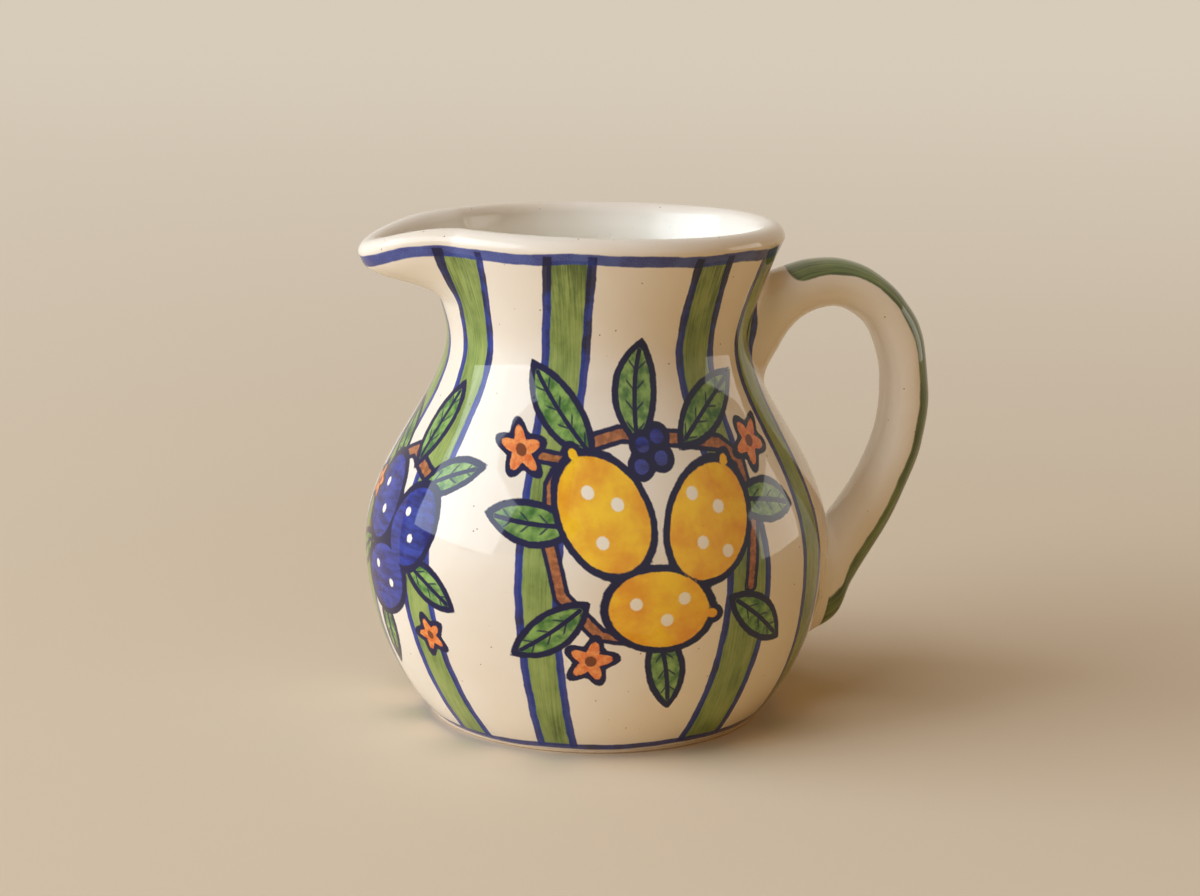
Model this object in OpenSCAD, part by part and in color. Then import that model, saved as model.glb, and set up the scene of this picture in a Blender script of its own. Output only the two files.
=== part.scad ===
// A hand-thrown glazed pouring jug: round belly, narrow neck, pulled spout and a pulled loop handle.
// It stands on z = 0 with the axis of the throwing wheel on Z, the spout toward -X and the handle toward +X.

/* [Body] */
// Height of the rim above the table
jug_h = 150; // [142:1:170]
// Diameter where the wall meets the table
foot_d = 98; // [88:1:106]
// Widest diameter of the belly
belly_d = 140.6; // [132:0.2:150]
// Height of the widest part of the belly
belly_z = 53; // [46:1:60]
// Narrowest diameter of the neck
neck_d = 90.8; // [84:0.2:98]
// Height of the collar, from the narrowest part of the neck to the rim
collar_h = 34; // [30:1:38]
// Outer diameter of the rim
rim_d = 110.4; // [104:0.2:116]
// Thickness of the thrown wall
wall_t = 5.5; // [4:0.1:7]
// Thickness of the rolled rim
lip_t = 8.4; // [7:0.1:9.6]
// Thickness of the floor
floor_t = 7; // [5:0.5:10]
// Radius of the round between the floor and the wall inside
floor_round = 9; // [4:0.5:12]

/* [Foot ring] */
// Height of the turned foot ring, which is also the depth of the recess under the floor
foot_h = 3; // [2:0.5:3.5]
// Width of the ring at the table
foot_w = 8; // [5:0.5:14]
// Radius of the worn edge at the table
foot_edge = 1.2; // [0.6:0.1:1.8]

/* [Spout] */
// How far the lip of the spout stands out past the rim
spout_reach = 16.5; // [8:0.5:22]
// How far the tip of the spout dips below the rim
spout_dip = 5.8; // [0:0.2:8]
// Half of the angle of rim that is pulled out, in degrees
spout_half_angle = 35; // [25:1:50]
// How far below the rim the throat of the spout leaves the neck
throat_depth = 24; // [20:1:25]
// How far below the rim the throat has its full reach
lip_depth = 7; // [5:1:10]

/* [Handle] */
// Distance from the axis of the jug to the outside of the loop
handle_reach = 101.3; // [92:0.1:112]
// How far the top of the loop lies below the rim
handle_drop = 12.4; // [10:0.2:18]
// Height of the lower end of the handle on the belly
handle_low_z = 20.5; // [14:0.5:28]
// Thickness of the loop, from its spine to the fingers
handle_t = 14.2; // [10:0.2:17]
// Width of the loop
handle_w = 22; // [16:1:28]
// Height of the lower root, where the clay is smeared down the belly
lower_root_h = 37; // [30:1:42]
// Height of the upper root on the neck
upper_root_h = 31.4; // [26:0.2:36]
// Width of the upper root
upper_root_w = 27; // [22:1:32]
// Width of the lower root
lower_root_w = 25; // [20:1:30]
// Width of the slip that is wiped round each root
slip_w = 2.6; // [1.5:0.1:4]

/* [Hidden] */

// Smoothness of the turned, pulled and modelled surfaces
foot_steps = 4;
wall_steps = 24;
rim_steps = 8;
rim_sides = 120;
span_steps = 3;
ring_sides = 20;
cap_rings = 3;
turn_fn = 120;
slope_step = 0.05;

// Curves of the wall: roundness below the belly and how late the collar flares
belly_share = 0.82;
flare_share = 1.4;
// Where the neck ends and the rim begins, up the collar from the narrowest part
seam_share = 0.24;
// How the pull of the spout and its dip die away round the rim
pull_share = 0.7;
dip_share = 1.3;

foot_r = foot_d / 2;
belly_r = belly_d / 2;
neck_r = neck_d / 2;
rim_r = rim_d / 2;
lip_r = lip_t / 2;
neck_z = jug_h - collar_h;
bead_z = jug_h - lip_r;
seam_z = neck_z + seam_share * collar_h;
floor_z = foot_h + floor_t;
throat_z = jug_h - throat_depth;
lip_z = jug_h - lip_depth;

handle_top_z = jug_h - handle_drop;
gap_top_z = handle_top_z - handle_t;
gap_low_z = handle_low_z + lower_root_h;
gap_reach = handle_reach - handle_t;
// How far out from the wall the section of the handle forgets the roundness of the wall
root_blend = handle_t;
// Share of the loop over which each root widens, and how square its section is
root_share = 0.25;
section_share = 0.88;
// How hollow the wiped slip is between the wall and the handle
slip_hollow_share = 0.3;

// The loop as pairs of points, from the neck round to the belly. Each row has the spine's share of the way out
// from the wall and of the way up the handle, then the inner face's share of the way out and of the way up
// the gap for the fingers, which is counted from the lower end of the upper root as far as top_row
loop_shares = [
    [0.00, 0.96, 0.00, 0.00],
    [0.13, 0.985, 0.19, 0.39],
    [0.26, 1.00, 0.36, 0.84],
    [0.45, 1.00, 0.57, 1.00],
    [0.65, 0.97, 0.75, 0.97],
    [0.84, 0.90, 0.90, 0.88],
    [0.96, 0.80, 0.98, 0.74],
    [1.00, 0.66, 1.00, 0.59],
    [0.96, 0.52, 0.96, 0.43],
    [0.79, 0.39, 0.77, 0.26],
    [0.51, 0.25, 0.30, 0.07],
    [0.31, 0.145, 0.16, 0.03],
    [0.22, 0.05, 0.08, 0.01],
    [0.00, 0.00, 0.00, 0.00]
];
top_row = 3;

function lerp(a, b, t) = a + (b - a) * t;
function clamped(t) = max(0, min(1, t));
function smooth(t) = let (u = clamped(t)) u * u * (3 - 2 * u);

// Outer radius of the turned wall at a height
function wall_r(z) =
    z < belly_z ? foot_r + (belly_r - foot_r) * pow(1 - pow(1 - clamped(z / belly_z), 2), belly_share) :
    z < neck_z ? neck_r + (belly_r - neck_r) * pow(1 - pow((z - belly_z) / (neck_z - belly_z), 2), 2) :
    neck_r + (rim_r - neck_r) * pow((z - neck_z) / (bead_z - neck_z), flare_share);

// The wall measured level instead of square to its surface
function level_wall(z) =
    let (slope = (wall_r(z + slope_step) - wall_r(z - slope_step)) / (2 * slope_step))
    wall_t * sqrt(1 + slope * slope);
function inner_r(z) = wall_r(z) - level_wall(z);
function floor_corner(z) =
    let (left = max(0, floor_round - (z - floor_z)))
    floor_round - sqrt(floor_round * floor_round - left * left);

// Points of the turned wall, up its outside and down its inside
function wall_up(low, high) = [
    for (i = [0 : wall_steps])
        let (z = lerp(low, high, i / wall_steps))
        [wall_r(z), z]
];
function wall_down(high, low) = [
    for (i = [0 : wall_steps])
        let (z = lerp(high, low, i / wall_steps))
        [inner_r(z) - floor_corner(z), z]
];

// The rim thickens from the wall to the rolled lip
function rim_wall(z) = lerp(level_wall(z), lip_t, smooth((z - seam_z) / (bead_z - seam_z)));

// Faces of a closed sleeve of m rings of n points, and of a tube closed by a point at each end
function band(i, k, n) = [
    for (j = [0 : n - 1])
        let (a = i * n + j, b = i * n + (j + 1) % n, c = k * n + (j + 1) % n, d = k * n + j)
        each [[a, c, b], [a, d, c]]
];
function sleeve_faces(m, n) = [for (i = [0 : m - 1]) each band(i, (i + 1) % m, n)];
function tube_faces(m, n) = [
    for (i = [0 : m - 2]) each band(i, i + 1, n),
    for (j = [0 : n - 1]) [m * n, j, (j + 1) % n],
    for (j = [0 : n - 1]) [m * n + 1, (m - 1) * n + (j + 1) % n, (m - 1) * n + j]
];
function flat(list) = [for (part = list) each part];

// A point of the rim, drawn out and down toward the spout at 180 degrees
function rim_point(r, z, a) =
    let (off = abs(a - 180),
         w = off < spout_half_angle ? (1 + cos(180 * off / spout_half_angle)) / 2 : 0,
         pull = smooth((z - throat_z) / (lip_z - throat_z)),
         out = r + spout_reach * pull * pow(w, pull_share))
    [out * cos(a), out * sin(a), z - spout_dip * pull * pow(w, dip_share)];
function rim_ring(r, z) = [for (j = [0 : rim_sides - 1]) rim_point(r, z, 360 * j / rim_sides)];

// The rows of the loop as real sizes: height and distance out from the wall, for the spine and the inner face
spans = len(loop_shares) - 1;
handle_rings = spans * span_steps;
upper_root_z = lerp(handle_low_z, handle_top_z, loop_shares[0][1]) - upper_root_h;
loop_knots = [
    for (i = [0 : spans])
        let (row = loop_shares[i],
             spine_z = lerp(handle_low_z, handle_top_z, row[1]),
             inner_z = lerp(i < top_row ? upper_root_z : gap_low_z, gap_top_z, row[3]))
        [spine_z, row[0] * (handle_reach - wall_r(spine_z)), inner_z, row[2] * (gap_reach - wall_r(inner_z))]
];

// A Catmull-Rom curve through the knots, at u from 0 to the number of spans
function loop_at(u) =
    let (i = min(floor(u), spans - 1),
         t = u - i,
         p0 = loop_knots[max(i - 1, 0)],
         p1 = loop_knots[i],
         p2 = loop_knots[i + 1],
         p3 = loop_knots[min(i + 2, spans)])
    (2 * p1 + (p2 - p0) * t + (2 * p0 - 5 * p1 + 4 * p2 - p3) * t * t
        + (3 * p1 - p0 - 3 * p2 + p3) * t * t * t) / 2;

// A point of the handle: u runs along the loop and a goes round its section, with 0 at the spine
function handle_point(u, a) =
    let (knot = loop_at(u),
         along = u / spans,
         k = (1 + sign(cos(a)) * pow(abs(cos(a)), section_share)) / 2,
         z = lerp(knot[2], knot[0], k),
         out = lerp(knot[3], knot[1], k),
         upper = (upper_root_w - handle_w) * pow(1 - clamped(along / root_share), 2),
         lower = (lower_root_w - handle_w) * pow(1 - clamped((1 - along) / root_share), 2),
         y = (handle_w + upper + lower) / 2 * sign(sin(a)) * pow(abs(sin(a)), section_share),
         r = wall_r(z),
         hug = clamped(1 - out / root_blend))
    [r + out - hug * (r - sqrt(r * r - y * y)), y, z];
function handle_ring(i) = [for (j = [0 : ring_sides - 1]) handle_point(i / span_steps, 360 * j / ring_sides)];

// Middle of a root, and its outline drawn larger or smaller on the wall round that middle
function root_z(ring) = (max([for (p = ring) p[2]]) + min([for (p = ring) p[2]])) / 2;
function on_wall(y, z) = [sqrt(pow(wall_r(z), 2) - y * y), y, z];
function root_outline(ring, grow_y, grow_z) =
    let (mid = root_z(ring))
    [for (p = ring) on_wall(p[1] * grow_y, mid + (p[2] - mid) * grow_z)];

module foot_ring() {
    inner = foot_r - foot_w;
    outer = wall_r(foot_edge);
    color([0.78, 0.62, 0.45])
        rotate_extrude($fn = turn_fn)
            polygon([
                [inner, foot_h],
                [inner, 0],
                for (i = [0 : foot_steps])
                    let (a = 90 * i / foot_steps)
                    [outer - foot_edge + foot_edge * sin(a), foot_edge - foot_edge * cos(a)],
                for (i = [1 : foot_steps])
                    let (z = lerp(foot_edge, foot_h, i / foot_steps))
                    [wall_r(z), z]
            ]);
}

// Floor and lower wall, up to the widest part of the belly
module bowl() {
    color([0.95, 0.92, 0.84])
        rotate_extrude($fn = turn_fn)
            polygon([
                [0, foot_h],
                each wall_up(foot_h, belly_z),
                each wall_down(belly_z, floor_z),
                [0, floor_z]
            ]);
}

// Upper wall, in over the shoulder and out again to the seam under the rim
module shoulder_and_neck() {
    color([0.95, 0.92, 0.84])
        rotate_extrude($fn = turn_fn)
            polygon([
                each wall_up(belly_z, seam_z),
                each wall_down(seam_z, belly_z)
            ]);
}

module rim_and_spout() {
    outside = [
        for (i = [0 : rim_steps])
            let (z = lerp(seam_z, bead_z, i / rim_steps))
            rim_ring(wall_r(z), z)
    ];
    rolled_lip = [
        for (i = [1 : rim_steps - 1])
            let (a = 180 * i / rim_steps)
            rim_ring(rim_r - lip_r + lip_r * cos(a), bead_z + lip_r * sin(a))
    ];
    inside = [
        for (i = [0 : rim_steps])
            let (z = lerp(bead_z, seam_z, i / rim_steps))
            rim_ring(wall_r(z) - rim_wall(z), z)
    ];
    rings = concat(outside, rolled_lip, inside);
    color([0.95, 0.92, 0.84])
        polyhedron(flat(rings), sleeve_faces(len(rings), rim_sides));
}

module handle() {
    upper = handle_ring(0);
    lower = handle_ring(handle_rings);
    rings = [
        for (i = [1 : cap_rings - 1]) root_outline(upper, i / cap_rings, i / cap_rings),
        for (i = [0 : handle_rings]) handle_ring(i),
        for (i = [1 : cap_rings - 1]) root_outline(lower, 1 - i / cap_rings, 1 - i / cap_rings)
    ];
    ends = [on_wall(0, root_z(upper)), on_wall(0, root_z(lower))];
    color([0.93, 0.89, 0.80])
        polyhedron(concat(flat(rings), ends), tube_faces(len(rings), ring_sides));
}

// The slip lies against the wall and round the first ring of the handle, hollow on its free side
module slip_joint(root, next, root_w) {
    half_h = (max([for (p = root) p[2]]) - min([for (p = root) p[2]])) / 2;
    wide = root_outline(root, 1 + 2 * slip_w / root_w, 1 + slip_w / half_h);
    hollow = [
        for (j = [0 : ring_sides - 1]) lerp((wide[j] + next[j]) / 2, root[j], slip_hollow_share)
    ];
    color([0.95, 0.92, 0.84])
        polyhedron(concat(wide, root, next, hollow), sleeve_faces(4, ring_sides));
}

module upper_slip_joint() {
    slip_joint(handle_ring(0), handle_ring(1), upper_root_w);
}

module lower_slip_joint() {
    slip_joint(handle_ring(handle_rings), handle_ring(handle_rings - 1), lower_root_w);
}

foot_ring();
bowl();
shoulder_and_neck();
rim_and_spout();
handle();
upper_slip_joint();
lower_slip_joint();
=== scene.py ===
# %% [markdown]
# A painted table jug
#
# The real jug is red-brown clay, thrown on a wheel, dipped in a warm cream glaze and painted with a
# soft brush before the last firing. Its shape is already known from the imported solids, so this
# script makes the surfaces that people see and touch: the glazed skin, the pulled spout, the wiped
# handle and the brushwork. Everything is in metres, with the wheel's axis on Z, the spout toward -X
# and the handle toward +X.

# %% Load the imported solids
import math

import bpy
import numpy as np
from mathutils import Matrix, Vector


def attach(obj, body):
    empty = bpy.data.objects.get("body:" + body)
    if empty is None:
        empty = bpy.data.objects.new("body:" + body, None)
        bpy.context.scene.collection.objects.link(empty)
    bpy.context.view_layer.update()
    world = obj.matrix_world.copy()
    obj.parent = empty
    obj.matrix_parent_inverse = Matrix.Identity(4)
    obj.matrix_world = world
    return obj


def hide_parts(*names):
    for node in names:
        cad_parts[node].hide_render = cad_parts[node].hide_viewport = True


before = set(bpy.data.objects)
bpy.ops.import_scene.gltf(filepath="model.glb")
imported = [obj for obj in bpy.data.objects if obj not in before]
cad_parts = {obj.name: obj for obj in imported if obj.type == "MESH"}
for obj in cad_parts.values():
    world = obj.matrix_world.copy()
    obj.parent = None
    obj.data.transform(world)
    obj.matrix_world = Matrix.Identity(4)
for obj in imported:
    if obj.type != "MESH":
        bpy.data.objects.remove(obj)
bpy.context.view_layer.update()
MM = 0.001
print("solids:", sorted(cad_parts))

# %% [markdown]
# The sizes of the wall
#
# A thrown wall is one smooth curve. The glazed skin has to lie on the solids exactly, so the same
# sizes and the same few curves are written here again, in millimetres. A short average rounds the
# places where two curves meet, as a wet hand does.

# %% Curves of the wall
JUG_H = 150.0
FOOT_R = 49.0
BELLY_R = 70.3
BELLY_Z = 53.0
NECK_R = 45.4
NECK_Z = 116.0
RIM_R = 55.2
LIP_R = 4.2
BEAD_Z = JUG_H - LIP_R
WALL_T = 5.5
FLOOR_Z = 10.0
FLOOR_ROUND = 9.0
FOOT_H = 3.0
FOOT_W = 8.0
SEAM_Z = 124.2
FOOT_CURVE = 0.82
RIM_CURVE = 1.4
ROUNDED_FROM_Z = 12.0
ROUNDED_TO_Z = 126.0
ROUNDED_FADE = 12.0


def smooth(t):
    t = np.clip(t, 0.0, 1.0)
    return t * t * (3 - 2 * t)


def plain_wall(z):
    z = np.asarray(z, float)
    low = 1 - (1 - np.clip(z / BELLY_Z, 0, 1)) ** 2
    mid = 1 - ((z - BELLY_Z) / (NECK_Z - BELLY_Z)) ** 2
    top = np.clip((z - NECK_Z) / (BEAD_Z - NECK_Z), 0, None)
    bowl = FOOT_R + (BELLY_R - FOOT_R) * low ** FOOT_CURVE
    shoulder = NECK_R + (BELLY_R - NECK_R) * mid ** 2
    collar = NECK_R + (RIM_R - NECK_R) * top ** RIM_CURVE
    return np.where(z < BELLY_Z, bowl, np.where(z < NECK_Z, shoulder, collar))


def wall(z):
    """Outer radius, rounded by an average over 8 mm of height between the foot and the collar."""
    z = np.asarray(z, float)
    rounded = sum(w * plain_wall(z + d) for d, w in ((-4, 1), (-2, 2), (0, 3), (2, 2), (4, 1))) / 9
    keep = smooth((z - ROUNDED_FROM_Z) / ROUNDED_FADE)
    keep = keep * (1 - smooth((z - ROUNDED_TO_Z) / ROUNDED_FADE))
    return plain_wall(z) + (rounded - plain_wall(z)) * keep


def inner_wall(z):
    """Inner radius: the thickness is measured square to the slope, and grows toward the rim."""
    slope = plain_wall(z + 0.5) - plain_wall(z - 0.5)
    thick = WALL_T * np.sqrt(1 + slope * slope)
    thick = thick + (2 * LIP_R - thick) * smooth((z - SEAM_Z) / (BEAD_Z - SEAM_Z))
    left = np.clip(FLOOR_ROUND - (z - FLOOR_Z), 0, FLOOR_ROUND)
    return wall(z) - thick - (FLOOR_ROUND - np.sqrt(FLOOR_ROUND ** 2 - left ** 2))


print("wall radius in mm:", {z: round(float(wall(z)), 1) for z in (3, 28, 53, 84, 116, 140)})

# %% [markdown]
# Small helpers for modelling by hand
#
# Operators act on whatever is selected. These helpers put everything down first, then pick one
# object up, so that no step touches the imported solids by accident.


# %% Helpers
def put_down():
    if bpy.context.object and bpy.context.object.mode != "OBJECT":
        bpy.ops.object.mode_set(mode="OBJECT")
    bpy.ops.object.select_all(action="DESELECT")


def pick_up(piece):
    put_down()
    piece.select_set(True)
    bpy.context.view_layer.objects.active = piece


def coordinates(piece):
    flat = np.empty(len(piece.data.vertices) * 3)
    piece.data.vertices.foreach_get("co", flat)
    return flat.reshape(-1, 3)


def set_coordinates(piece, points):
    piece.data.vertices.foreach_set("co", np.asarray(points, float).ravel())
    piece.data.update()


def store(piece, name, values):
    """Writes one number for each point of the mesh, for a material to read."""
    layer = piece.data.attributes.new(name, "FLOAT", "POINT")
    layer.data.foreach_set("value", np.asarray(values, np.float32))


def store_vector(piece, name, values):
    layer = piece.data.attributes.new(name, "FLOAT_VECTOR", "POINT")
    layer.data.foreach_set("vector", np.asarray(values, np.float32).ravel())


def triangles(piece):
    return sum(len(face.vertices) - 2 for face in piece.data.polygons)


def turn_on_wheel(name, profile, steps):
    """Draws a profile of (radius, height) in mm by extruding a point, and spins it round the axis."""
    put_down()
    bpy.ops.mesh.primitive_plane_add(size=0.001, location=(profile[0][0] * MM, 0, profile[0][1] * MM))
    piece = bpy.context.object
    piece.name = name
    bpy.ops.object.transform_apply(location=True, rotation=True, scale=True)
    bpy.ops.object.mode_set(mode="EDIT")
    bpy.ops.mesh.select_all(action="SELECT")
    bpy.ops.mesh.merge(type="CENTER")
    for (r0, z0), (r1, z1) in zip(profile, profile[1:]):
        step = ((r1 - r0) * MM, 0, (z1 - z0) * MM)
        bpy.ops.mesh.extrude_region_move(TRANSFORM_OT_translate={"value": step})
    bpy.ops.mesh.select_all(action="SELECT")
    bpy.ops.mesh.spin(steps=steps, angle=math.tau, center=(0, 0, 0), axis=(0, 0, 1))
    bpy.ops.mesh.select_all(action="SELECT")
    bpy.ops.mesh.remove_doubles(threshold=0.00001)
    bpy.ops.mesh.normals_make_consistent(inside=False)
    bpy.ops.object.mode_set(mode="OBJECT")
    bpy.ops.object.shade_smooth()
    return piece


solid_triangles = sum(triangles(bpy.data.objects[name]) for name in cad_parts)
print("the solids have", solid_triangles, "triangles together")

# %% [markdown]
# The glazed skin
#
# Clay, rim and spout are one piece on the real jug, and any seam would show in the gloss. So the
# whole wall is turned as one profile: out along the underside, up the outside, over the rolled lip,
# down the inside and across the floor. The outside has a row every millimetre, because the
# brushwork is stored on its points.

# %% Turn the wall
GLAZE_EDGE_Z = 0.6
OUTSIDE_ROWS = 147
INSIDE_ROWS = 50
JUG_SIDES = 400
FLOOR_RIPPLE = 0.35
outside = [(float(wall(z)), float(z)) for z in np.linspace(GLAZE_EDGE_Z, BEAD_Z, OUTSIDE_ROWS)]
lip = [
    (RIM_R - LIP_R + LIP_R * math.cos(math.radians(a)), BEAD_Z + LIP_R * math.sin(math.radians(a)))
    for a in range(15, 180, 15)
]
inside = [(float(inner_wall(z)), float(z)) for z in np.linspace(BEAD_Z, FLOOR_Z + 7, INSIDE_ROWS)]
flat_r = float(inner_wall(FLOOR_Z + 0.02))
corner = [(float(inner_wall(FLOOR_Z + h)), FLOOR_Z + h) for h in (5.5, 4, 2.8, 1.8, 1, 0.4, 0.1)]
floor = [
    (flat_r * share, FLOOR_Z + FLOOR_RIPPLE * math.cos(14 * share))
    for share in (0.93, 0.8, 0.65, 0.5, 0.35, 0.2, 0.1, 0.0)
]
under_z = FOOT_H + 0.5
under = [(0.0, under_z), (20.0, under_z), (44.0, under_z), (46.5, FOOT_H - 0.6), (48.6, 0.9)]
profile = under + outside + lip + inside + corner + floor
jug = turn_on_wheel("glazed_jug", profile, JUG_SIDES)
print("glazed wall:", len(jug.data.vertices), "points,", triangles(jug), "triangles")

# %% [markdown]
# The painter's sheet
#
# A painter works round the jug with strokes measured in millimetres, not with a flat picture. Each
# point of the outside gets the distance to the edge of a painted shape, positive inside it. A
# distance stays smooth between points, so the material can draw a sharp edge, a thin line or a worn
# edge from it at any scale. The first values are the angle round the jug, with the handle at 0 and
# the spout at 180 degrees, and the height. The sheet is rolled out at one radius, and the inside
# gets a sheet of its own, some way off.

# %% Angle and height of each point
SHEET_R = 60.0
INSIDE_SHEET = 50.0
SKIN_T = 1.5
UNDERSIDE_Z = 0.5
points = coordinates(jug) / MM
radius = np.hypot(points[:, 0], points[:, 1])
height = points[:, 2]
angle = np.degrees(np.arctan2(points[:, 1], points[:, 0])) % 360
beyond_skin = radius > wall(np.clip(height, 0, BEAD_Z)) - SKIN_T
painted = np.where(height < BEAD_Z, beyond_skin, radius > RIM_R - LIP_R)
painted &= height > UNDERSIDE_Z
around = np.radians(angle) * SHEET_R
store_vector(jug, "sheet", np.stack([around, height, np.where(painted, 0.0, INSIDE_SHEET)], 1))
print("points on the painted outside:", int(painted.sum()))

# %% [markdown]
# Stripes and lines
#
# The stripes fall from the rim to the foot, a broad green one between two cobalt lines each time, a
# little uneven in place and width. Each row below gives a stripe's middle in degrees at the foot,
# belly, shoulder, neck and rim, then its width in millimetres at the same heights. The far side
# can't be seen in the photograph and repeats the rhythm.

# %% Stripes, rim line and foot line
FAR = 30.0
RIM_LINE_Z = 143.8
FOOT_LINE_Z = 2.7
STRIPE_HEIGHTS = (6, 50, 92, 118, 143)
STRIPES = (
    ((188, 187, 185.5, 181.5, 177), (11, 12, 12, 12, 8.5)),
    ((222, 216, 213, 213.5, 217), (10.5, 11.5, 12, 12, 14.5)),
    ((252, 250.3, 251, 252, 255), (9.5, 11, 11.5, 11.6, 12.8)),
    ((299, 302, 301.7, 301.2, 301), (13.5, 14.5, 11.5, 11.5, 11)),
    ((333, 328.7, 331, 334, 333), (10, 12, 11, 13.5, 12)),
    ((24, 23, 25, 28, 27), (11, 12, 11, 12, 12)),
    ((57, 60, 59, 60, 61), (12, 13, 12, 12, 13)),
    ((92, 91, 92, 93, 92), (10, 12, 12, 12, 12)),
    ((122, 124, 123, 122, 121), (12, 13, 12, 11, 12)),
    ((153, 152, 152, 151, 147), (10, 12, 12, 12, 13)),
)


def along_curve(heights, values, z):
    """A smooth curve through a few values, by blending the slopes on both sides of each."""
    heights = np.asarray(heights, float)
    values = np.asarray(values, float)
    slopes = np.gradient(values, heights)
    k = np.clip(np.searchsorted(heights, z) - 1, 0, len(heights) - 2)
    span = heights[k + 1] - heights[k]
    t = np.clip((z - heights[k]) / span, 0, 1)
    return (values[k] * (1 + 2 * t) * (1 - t) ** 2 + slopes[k] * span * t * (1 - t) ** 2
            + values[k + 1] * t * t * (3 - 2 * t) + slopes[k + 1] * span * t * t * (t - 1))


def arc(angles, radii, middle):
    """Distance round the jug from an angle, in mm, positive the way the angles grow."""
    return np.radians((angles - middle + 180) % 360 - 180) * np.clip(radii, 1, None)


def across(middle):
    return arc(angle, radius, middle)


def inside_stripe(angles, radii, heights):
    """Distance to the edge of the nearest stripe."""
    best = np.full(len(heights), -FAR)
    for middles, widths in STRIPES:
        half = along_curve(STRIPE_HEIGHTS, widths, heights) / 2
        middle = along_curve(STRIPE_HEIGHTS, middles, heights)
        best = np.maximum(best, half - np.abs(arc(angles, radii, middle)))
    return best


stripe = inside_stripe(angle, radius, height)
turn = np.radians(angle)
rim_wave = 0.3 * np.sin(3 * turn) + 0.3 * np.sin(7 * turn + 1) + 0.15 * np.sin(13 * turn)
foot_wave = 0.9 * np.sin(turn - math.radians(262)) + 0.2 * np.sin(9 * turn)
store(jug, "stripe", np.where(painted, stripe, -FAR))
store(jug, "rim_line", np.where(painted, height - RIM_LINE_Z - rim_wave, FAR))
store(jug, "foot_line", np.where(painted, height - FOOT_LINE_Z - foot_wave, FAR))
below_lip = smooth((BEAD_Z + 4 - height) / 6)
store(jug, "in_mouth", np.where(painted | (height < 5), 0, below_lip))
green_share = float((stripe[painted] > 0).mean())
print(len(STRIPES), "stripes, green on", round(100 * green_share), "% of the outside")

# %% [markdown]
# Fruit sprays
#
# Between the stripes, tableware like this carries quick pictures. Four loose sprays of fruit fill
# those places: lemons on the side in view, plums under the spout, and one of each on the far side.
# A spray is drawn in millimetres round its own middle, first across and then up, with shapes that a
# brush makes in one or two strokes: an oval fruit, a pointed leaf, a round berry, a five-petal
# flower and a bent twig.


# %% Brush shapes, each a distance to its edge
class Spray:
    """The shapes of one spray, gathered as distances over all points of the jug."""

    def __init__(self, middle, rise, mirrored=False):
        self.x = across(middle) * (-1 if mirrored else 1)
        self.y = height - rise

    def turned(self, x, y, tilt):
        c, s = math.cos(math.radians(tilt)), math.sin(math.radians(tilt))
        return (self.x - x) * c + (self.y - y) * s, (self.y - y) * c - (self.x - x) * s

    def fruit(self, x, y, long, wide, tilt, nub=0.0):
        p, q = self.turned(x, y, tilt)
        body = (1 - np.sqrt((p / long) ** 2 + (q / wide) ** 2)) * wide
        tip = nub - np.hypot(p - long, q * 1.2)
        return np.maximum(body, tip) if nub else body

    def leaf(self, x, y, long, wide, tilt):
        p, q = self.turned(x, y, tilt)
        bend = q - 0.12 * wide * np.cos(p / long * 1.6)
        ring = (long * long + wide * wide) / (2 * wide)
        edge = ring - np.maximum(np.hypot(p, bend - (wide - ring)), np.hypot(p, bend + (wide - ring)))
        return edge, p, bend

    def berry(self, x, y, size):
        return size - np.hypot(self.x - x, self.y - y)

    def flower(self, x, y, size, tilt):
        p, q = self.turned(x, y, tilt)
        petal = size * (0.78 + 0.22 * np.cos(5 * np.arctan2(q, p)))
        return (petal - np.hypot(p, q)) * 0.85

    def twig(self, stops, thick):
        best = np.full(len(self.x), -FAR)
        for (x0, y0), (x1, y1) in zip(stops, stops[1:]):
            dx, dy = x1 - x0, y1 - y0
            t = np.clip(((self.x - x0) * dx + (self.y - y0) * dy) / (dx * dx + dy * dy), 0, 1)
            best = np.maximum(best, thick / 2 - np.hypot(self.x - x0 - t * dx, self.y - y0 - t * dy))
        return best


SHAPE_NAMES = ("lemon", "plum", "leaf", "twig", "flower", "heart", "dot")
shapes = {key: np.full(len(points), -FAR) for key in SHAPE_NAMES}
leaf_along = np.zeros(len(points))
leaf_side = np.full(len(points), 9.0)


def add(key, distance):
    shapes[key] = np.maximum(shapes[key], distance)


def add_leaf(spray, x, y, long, wide, tilt):
    edge, p, q = spray.leaf(x, y, long, wide, tilt)
    nearer = edge > shapes["leaf"]
    leaf_along[nearer] = p[nearer]
    leaf_side[nearer] = q[nearer]
    add("leaf", edge)


print("one distance for each of", len(points), "points in", sorted(shapes))

# %% [markdown]
# Where each spray sits
#
# Three fruit touch round a middle, a bough bends about them and leaves point outward from it, so a
# spray fills a round place between the stripes. The rows below give places, sizes and tilts in
# millimetres and degrees. One function draws each kind of spray, so its two copies match, and a
# mirrored copy looks painted afresh.

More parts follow.
